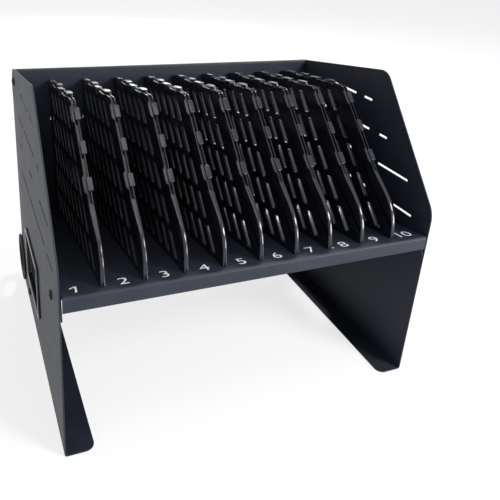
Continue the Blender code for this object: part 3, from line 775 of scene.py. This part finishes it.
def fingerMesh(cfg, side, run):
    # a domed leaf over the channel on a leg outside the wall, all rims rounded
    size = cfg["finger"]
    wall = cfg["thick"] / 2
    outer, reach = wall + size["spread"], cfg["channel"]["width"] / 2 - size["slit"]
    plate, half, taper, tip = size["plate"], run["length"] / 2, run["taper"], run["tip"]
    root, crown, soft = outer - size["inset"], reach * size["crownShare"], size["tipRound"]
    end = half - soft - taper * size["taperShare"]
    leaf = roundedPath([(side * root, -half + taper, tip), (side * root, half - taper, tip),
                        (-side * crown, half, tip), (-side * reach, end, soft), (-side * reach, -end, soft),
                        (-side * crown, -half, tip)], size["steps"])
    bm = flatPlate(leaf, [], plate, size["edge"])
    cutAlong(bm, 1, [half * i / size["rows"] for i in range(1 - size["rows"], size["rows"])])
    cutAlong(bm, 0, [side * outer * i / size["columns"] for i in range(size["columns"])])
    for vert in bm.verts:
        dome = size["sag"] * (vert.co.y / half) ** 2
        dip = size["slope"] * max(0.0, side * vert.co.x - wall)
        vert.co.z += run["rise"] - plate / 2 - dome - dip
    faceOut(bm)
    inner, legTop = wall - size["lap"], run["rise"] - plate * size["legShare"]
    low, footRound, topRound = -size["drop"], size["legFootRound"], size["legTopRound"]
    leg = roundedPath([(-half + taper, low, footRound), (half - taper, low, footRound),
                       (half - taper, legTop, topRound), (-half + taper, legTop, topRound)], size["legSteps"])
    post = flatPlate(leg, [], outer - inner, size["legEdge"])
    place = Matrix.Translation((side * (outer + inner) / 2, 0, 0)) @ upright
    bmesh.ops.transform(post, matrix=place, verts=post.verts)
    faceOut(post)
    return joinMeshes([fromBmesh(bm), fromBmesh(post)])


def tabMeshes(cfg):
    # two tabs down through the tray and one back through the panel
    half, reach, inset = cfg["thick"] / 2, cfg["tabReach"], cfg["tabInset"]
    made = [slab(tabPath(-half, front, half, front + rack["tabLength"]), -reach, inset)
            for front in rack["tabFronts"]]
    path = tabPath(-half, rack["tabHeight"], half, rack["tabHeight"] + rack["tabLength"])
    rear = slab(path, -rack["trayDepth"] - rack["gap"] - reach, inset - rack["trayDepth"])
    rear.transform(Matrix.Rotation(math.pi / 2, 4, "X"))
    return made + [rear]


def boolean(mesh, tools, operation):
    # one boolean step for each tool, in order
    obj = linked("base", mesh)
    holders = []
    for tool in tools:
        other = linked("tool", tool)
        holders.append(other)
        step = obj.modifiers.new("step", "BOOLEAN")
        step.operation, step.solver, step.object = operation, "EXACT", other
    result = plainMesh(obj)
    for item in [obj] + holders:
        bpy.data.objects.remove(item)
    return result


def softRims(cfg, mesh):
    # every rim a little soft, and a full round on the nose
    rims = cfg["rims"]
    noseTop, nearest = cfg["footHeight"] - rims["noseTop"], cfg["setback"] + rims["frontSlack"]

    def onNose(ends):
        below = all(p.z < noseTop and p.y < slantAt(p.z) + rims["noseBand"] for p in ends)
        ahead = all(p.y < max(slantAt(p.z), nearest) + rims["frontBand"] for p in ends)
        near = any(p.y < rims["noseReach"] for p in ends)
        return below and ahead and near and min(p.z for p in ends) > rims["footSlack"]

    bm = toBmesh(mesh)
    bmesh.ops.remove_doubles(bm, verts=bm.verts, dist=mergeReach)
    weights = bm.edges.layers.float.new("bevel_weight_edge")
    for edge in bm.edges:
        if len(edge.link_faces) != 2 or edge.calc_face_angle(0) < rims["sharpest"]:
            continue
        full = onNose([vert.co for vert in edge.verts])
        edge[weights] = 1.0 if full else rims["rimRound"] / rims["noseRound"]
    obj = linked("soft", fromBmesh(bm, "divider"))
    bevel = obj.modifiers.new("rims", "BEVEL")
    bevel.limit_method, bevel.width, bevel.segments = "WEIGHT", rims["noseRound"], rims["steps"]
    bevel.use_clamp_overlap = False
    result = plainMesh(obj)
    bpy.data.objects.remove(obj)
    return result


def dividerMesh(cfg):
    # plate with bulges, channel and pockets, then the fingers and tabs
    cheek, drop = cfg["cheek"], cfg["finger"]["drop"]
    wall = cfg["thick"] / 2
    inner, outer = (wall + cfg["channel"]["width"] / 2) / 2, wall + cfg["finger"]["spread"]
    bulges, hollows, fingers = [], [channelMesh(cfg)], []
    for spot, side, bulged, run in fingerFrames(cfg):
        made = [(fingers, fingerMesh(cfg, side, run))]
        if bulged:
            made.append((bulges, cheekMesh(cfg, side, run["length"], inner, outer, -drop, cheek["rise"])))
        if bulged and run["pockets"]:
            made.append((hollows, cheekMesh(cfg, side, run["length"], 0, outer - cheek["wall"],
                                            cheek["wall"] - drop, cheek["pocketTop"])))
        for kept, mesh in made:
            mesh.transform(spot)
            kept.append(mesh)
    plate = boolean(perforatedPlate(cfg), bulges, "UNION")
    plate = boolean(plate, hollows, "DIFFERENCE")
    return joinMeshes([softRims(cfg, plate)] + fingers + tabMeshes(cfg), "divider")


dividerBase = dividerMesh(dividerSettings)
for number in range(1, rack["bays"]):
    spot = lean @ Matrix.Translation((bayPlace(number, rack["bays"] - 1), 0, 0))
    addPiece("divider%d" % number, moved(dividerBase, spot), plastic,
             ["divider_%d" % number], dividerSettings["smooth"])
print("dividers:", len(dividerBase.polygons), "faces each")


# cable rings
ringSettings = dict(bore=0.021, neck=0.0257, outer=0.034, seat=0.00105, face=0.00355, bead=0.0032,
                    dish=0.0012, neckRound=0.0003, seatRound=0.0008, faceRound=0.0014, beadRound=0.0012,
                    sectionSteps=5, steps=96, smooth=50)


def spunMesh(profile, steps, closed, name):
    # profile of (radius, place along X), turned once about the X axis
    bm = bmesh.new()
    line = [bm.verts.new((x, r, 0)) for r, x in profile]
    after = line[1:] + line[:1] if closed else line[1:]
    edges = [bm.edges.new(ends) for ends in zip(line, after)]
    bmesh.ops.spin(bm, geom=line + edges, cent=(0, 0, 0), axis=(1, 0, 0), angle=2 * math.pi,
                   steps=steps, use_merge=True)
    bmesh.ops.remove_doubles(bm, verts=bm.verts, dist=mergeReach)
    faceOut(bm)
    return fromBmesh(bm, name)


def ringMesh(cfg):
    # grommet: a groove for the panel, a bead at the rim and at the bore, a dished face between them
    bore, outer, seat, face = (cfg[key] for key in ("bore", "outer", "seat", "face"))
    bead, dish, soft = cfg["bead"], cfg["dish"], cfg["beadRound"]
    half = [(cfg["neck"], seat, cfg["neckRound"]), (outer, seat, cfg["seatRound"]),
            (outer, face, cfg["faceRound"]), (outer - bead, face, soft),
            (outer - bead - dish, face - dish, soft), (bore + bead + dish, face - dish, soft),
            (bore + bead, face, soft), (bore, face, cfg["faceRound"])]
    profile = roundedPath(half + [(r, -x, k) for r, x, k in reversed(half)], cfg["sectionSteps"])
    return spunMesh(profile, cfg["steps"], True, "cableRing")


ringBase = ringMesh(ringSettings)
for label, side in (("left", -1), ("right", 1)):
    place = (side * (rack["halfWidth"] - rack["sheet"] / 2), rack["front"] + sideSettings["lobeSetback"],
             sideSettings["lobeHeight"])
    addPiece(label + "CableRing", moved(ringBase, Matrix.Translation(place)), rubber,
             [label + "_cable_ring"], ringSettings["smooth"])


# window trims
trimSettings = dict(bore=-0.0015, neck=-0.0003, lap=0.0035, outer=-0.0028, outerSeat=-0.0003,
                    innerSeat=0.0018, inner=0.0030, boreRound=0.0009, lapRound=0.0011, seatRound=0.0003,
                    innerRound=0.0006, sectionSteps=5, cornerSteps=8, smooth=40)


def trimMesh(cfg):
    # section of the grooved trim: distance out from the window's edge, then depth into the rack
    bore, neck, lap = cfg["bore"], cfg["neck"], cfg["lap"]
    seatRound, innerRound = cfg["seatRound"], cfg["innerRound"]
    profile = roundedPath([
        (bore, cfg["outer"], cfg["boreRound"]), (lap, cfg["outer"], cfg["lapRound"]),
        (lap, cfg["outerSeat"], seatRound), (neck, cfg["outerSeat"], 0), (neck, cfg["innerSeat"], 0),
        (lap, cfg["innerSeat"], seatRound), (lap, cfg["inner"], innerRound),
        (bore, cfg["inner"], innerRound)], cfg["sectionSteps"])
    x0, y0, x1, y1, radius = sideSettings["window"]
    bm = bmesh.new()
    rings = []
    for out, depth in profile:
        path = boxPath(x0 - out, y0 - out, x1 + out, y1 + out, radius + out, cfg["cornerSteps"])
        rings.append([bm.verts.new((depth - rack["halfWidth"], a + rack["front"], b)) for a, b in path])
    for here, after in zip(rings, rings[1:] + rings[:1]):
        for i in range(len(here)):
            j = (i + 1) % len(here)
            bm.faces.new((here[i], here[j], after[j], after[i]))
    faceOut(bm)
    return fromBmesh(bm, "windowTrim")


trimBase = trimMesh(trimSettings)
for label, mesh in (("left", trimBase), ("right", moved(trimBase, mirror))):
    addPiece(label + "WindowTrim", mesh, plastic, [label + "_window_trim"],
             trimSettings["smooth"])
print("rings and trims made")


# screws
# points: name, setback and height above the tray
screwSettings = dict(head=0.00525, height=0.0027, rim=0.0009, rimEdge=0.0002, shank=0.0025, reach=0.008,
                     shankEdge=0.0004, hexHalf=0.0016, hexDepth=0.0016, hexStart=-0.01, domeSteps=9, sides=40,
                     smooth=32, points=(("rear_top", 0.29396, 0.168), ("rear_low", 0.29396, -0.1223),
                                        ("front", 0.053, -0.0185)))


def screwMesh(cfg):
    # button head towards -X, with a hexagon socket
    head, shank, reach, seat = cfg["head"], cfg["shank"], cfg["reach"], -rack["gap"]
    profile = [(0.0, seat - cfg["height"])]
    for i in range(1, cfg["domeSteps"]):
        turn = math.pi / 2 * i / cfg["domeSteps"]
        profile.append((head * math.sin(turn),
                        seat - cfg["rim"] - (cfg["height"] - cfg["rim"]) * math.cos(turn)))
    profile += [(head, seat - cfg["rim"]), (head, seat - cfg["rimEdge"]), (head - cfg["rimEdge"], seat),
                (shank, seat), (shank, reach - cfg["shankEdge"]), (shank - cfg["shankEdge"], reach),
                (0.0, reach)]
    hexagon = arcPoints((0, 0), cfg["hexHalf"] / math.cos(math.pi / 6), 0, 2 * math.pi, 6)[:-1]
    socket = slab(hexagon, cfg["hexStart"], seat - cfg["height"] + cfg["hexDepth"])
    socket.transform(upright)
    return boolean(spunMesh(profile, cfg["sides"], False, "screw"), [socket], "DIFFERENCE")


def screwTree():
    # one screw set on each point, turned to its side
    tree, sockets, given, result = newTree("screwSet", [
        ("Geometry", "Geometry"), ("Screw", "Object"), ("Turn", "Vector"), ("Finish", "Material")])
    screw = addNode(tree, "GeometryNodeObjectInfo", [("Object", given["Screw"])]).outputs["Geometry"]
    points = addNode(tree, "GeometryNodeMeshToPoints", [("Mesh", given["Geometry"])]).outputs[0]
    turn = addNode(tree, "FunctionNodeEulerToRotation", [("Euler", given["Turn"])]).outputs[0]
    placed = addNode(tree, "GeometryNodeInstanceOnPoints",
                     [("Points", points), ("Instance", screw), ("Rotation", turn)]).outputs[0]
    finishTree(tree, placed, given["Finish"], result)
    return tree, sockets


screwGroup, screwSockets = screwTree()
screwModel = linked("screwModel", screwMesh(screwSettings))
for label, side in (("left", -1), ("right", 1)):
    spots = bpy.data.meshes.new("screwSpots")
    spots.from_pydata([lean @ Vector((side * rack["halfWidth"], setback, height))
                       for _, setback, height in screwSettings["points"]], [], [])
    baked = runTree(spots, screwGroup, screwSockets, {
        "Screw": screwModel, "Turn": (0.0, 0.0, 0.0 if side < 0 else math.pi), "Finish": oxide})
    addPiece(label + "Screws", baked, oxide,
             [label + "_screw_" + name for name, _, _ in screwSettings["points"]], screwSettings["smooth"])
bpy.data.objects.remove(screwModel)
print("screws set")


# bay numbers
digitSettings = dict(height=0.0142, foot=0.0106, lift=0.00006, shift={1: -0.0047}, widen=1.12, offset=-0.006,
                     curveSteps=6, weld=1e-5, smooth=30,
                     one=dict(height=0.0134, foot=0.0094, stroke=0.0021, lean=0.0012, flagReach=0.0050,
                              flagDrop=0.0028, flagShare=1.2))


def oneMesh(cfg, lift):
    # the first bay's number: a leaning stem with a flag to its left
    low, high, wide = cfg["foot"], cfg["foot"] + cfg["height"], cfg["stroke"]
    top, flagTop = cfg["lean"] - wide / 2, high - cfg["flagDrop"]
    path = [(-wide / 2, low), (wide / 2, low), (wide / 2 + cfg["lean"], high), (top, high),
            (-cfg["flagReach"], flagTop), (-cfg["flagReach"], flagTop - wide),
            (top, high - wide * cfg["flagShare"])]
    bm = bmesh.new()
    bm.faces.new([bm.verts.new((x, y, lift)) for x, y in path])
    bm.normal_update()
    bmesh.ops.triangulate(bm, faces=bm.faces)
    return fromBmesh(bm, "digit")


def digitMesh(text, cfg):
    # the other numbers, from the built-in letters, made a flat mesh facing up
    curve = bpy.data.curves.new("digit", "FONT")
    curve.body, curve.size = text, 1.0
    curve.align_x, curve.align_y = "CENTER", "BOTTOM_BASELINE"
    curve.offset, curve.resolution_u = cfg["offset"], cfg["curveSteps"]
    obj = linked("digit", curve)
    mesh = plainMesh(obj)
    bpy.data.objects.remove(obj)
    xs, ys = ([vert.co[k] for vert in mesh.vertices] for k in (0, 1))
    scale = cfg["height"] / (max(ys) - min(ys))
    middle, low = (max(xs) + min(xs)) / 2, min(ys)
    bm = toBmesh(mesh)
    bmesh.ops.remove_doubles(bm, verts=bm.verts, dist=cfg["weld"])
    for vert in bm.verts:
        x, y = vert.co.x - middle, vert.co.y - low
        vert.co = (x * scale * cfg["widen"], y * scale + cfg["foot"], cfg["lift"])
    bmesh.ops.recalc_face_normals(bm, faces=bm.faces)
    for face in bm.faces:
        if face.normal.z < 0:
            face.normal_flip()
    return fromBmesh(bm, "digit")


digits = []
for number in range(1, rack["bays"] + 1):
    if number == 1:
        flat = oneMesh(digitSettings["one"], digitSettings["lift"])
    else:
        flat = digitMesh(str(number), digitSettings)
    x = bayPlace(number, rack["bays"]) + digitSettings["shift"].get(number, 0)
    digits.append(moved(flat, lean @ Matrix.Translation((x, 0, 0))))
addPiece("bayNumbers", joinMeshes(digits, "bayNumbers"), ink, [], digitSettings["smooth"])
print("numbers printed")


# camera at the photograph's angle
cameraSettings = dict(place=(-0.27738, -0.66428, 0.52253), yaw=-23.51, pitch=-22.22, roll=3.64,
                      lens=43.854, sensor=36.0, shiftX=0.080, shiftY=-0.170, near=0.01, far=50.0)


def makeCamera(cfg):
    data = bpy.data.cameras.new("photoCamera")
    data.lens, data.sensor_width = cfg["lens"], cfg["sensor"]
    data.shift_x, data.shift_y = cfg["shiftX"], cfg["shiftY"]
    data.clip_start, data.clip_end = cfg["near"], cfg["far"]
    yaw, pitch, roll = (math.radians(turn) for turn in (cfg["yaw"], 90 + cfg["pitch"], cfg["roll"]))
    camera = linked("photoCamera", data)
    camera.matrix_world = (Matrix.Translation(cfg["place"]) @ Matrix.Rotation(yaw, 4, "Z")
                           @ Matrix.Rotation(pitch, 4, "X") @ Matrix.Rotation(roll, 4, "Z"))
    scene.camera = camera


# studio: lamps are name, place, what they face, width and watts
studioSettings = dict(
    worldLight=0.50,
    floor=dict(dark=(0.9062, 0.9062, 0.911125), light=(0.92, 0.92, 0.925), ramp=(0.4, 0.6),
               cloud=(6.0, 3.0, 0.5), roughness=0.9, specular=0.1, pale=0.75, reach=6.0, height=-0.0003),
    lamps=(("rearLow", (0.6, 2.4, 0.95), (0, 0, 0.36), 0.9, 12),
           ("noseWindow", (1.15, -1.65, 1.55), (0, 0, 0.25), 0.7, 46),
           ("overhead", (0.40, -0.78, 2.55), (0, 0, 0.25), 0.9, 3.5),
           ("rearHigh", (1.10, 1.10, 2.20), (0, 0, 0.25), 0.5, 36),
           ("leftHigh", (-1.1, -0.60, 2.30), (0, 0, 0.25), 0.9, 10),
           ("rightLow", (1.6, -2.0, 0.35), (0, 0, 0.2), 1.0, 62)))


def seenDirectly(tree):
    # one for camera, glossy and transmission rays, nought for the light that falls on things
    rays = tree.nodes.new("ShaderNodeLightPath").outputs
    either = mathNode(tree, "MAXIMUM", rays["Is Camera Ray"], rays["Is Glossy Ray"])
    return mathNode(tree, "MAXIMUM", either, rays["Is Transmission Ray"])


def makeWorld(cfg):
    # soft light on the object, plain white behind it
    world = bpy.data.worlds.new("studioWorld")
    scene.world = world
    world.use_nodes = True
    tree = world.node_tree
    light = tree.nodes["Background"]
    light.inputs["Strength"].default_value = cfg["worldLight"]
    white = addNode(tree, "ShaderNodeBackground", [("Strength", 1.0)])
    for node in (light, white):
        node.inputs["Color"].default_value = (1, 1, 1, 1)
    mix = addNode(tree, "ShaderNodeMixShader",
                  [(0, seenDirectly(tree)), (1, light.outputs[0]), (2, white.outputs[0])])
    tree.links.new(mix.outputs[0], tree.nodes["World Output"].inputs["Surface"])


def makeFloor(cfg):
    # pale paper that keeps the shadow; seen directly it is lifted towards white
    reach = cfg["reach"]
    mesh = bpy.data.meshes.new("floor")
    mesh.from_pydata([(-reach, -reach, 0), (reach, -reach, 0), (reach, reach, 0), (-reach, reach, 0)],
                     [], [(0, 1, 2, 3)])
    material, tree, shader, coords = newMaterial("floorPaper")
    colourOver(tree, shader, noiseNode(tree, coords, cfg["cloud"]), cfg)
    shader.inputs["Roughness"].default_value = cfg["roughness"]
    shader.inputs["Specular IOR Level"].default_value = cfg["specular"]
    white = addNode(tree, "ShaderNodeEmission", [("Strength", 1.0)])
    share = mathNode(tree, "MULTIPLY", seenDirectly(tree), cfg["pale"])
    mix = addNode(tree, "ShaderNodeMixShader", [(0, share), (1, shader.outputs[0]), (2, white.outputs[0])])
    tree.links.new(mix.outputs[0], tree.nodes["Material Output"].inputs["Surface"])
    mesh.materials.append(material)
    floor = linked("floor", mesh)
    floor.location.z = cfg["height"]


def makeLamps(cfg):
    for name, place, aim, size, power in cfg["lamps"]:
        data = bpy.data.lights.new(name, "AREA")
        data.shape, data.size, data.energy = "DISK", size, power
        lamp = linked(name, data)
        lamp.location, lamp.visible_camera = place, False
        lamp.rotation_euler = (Vector(aim) - Vector(place)).to_track_quat("-Z", "Y").to_euler()


makeCamera(cameraSettings)
makeWorld(studioSettings)
scene.view_settings.view_transform = "Standard"
makeLamps(studioSettings)
makeFloor(studioSettings["floor"])
print("studio made")
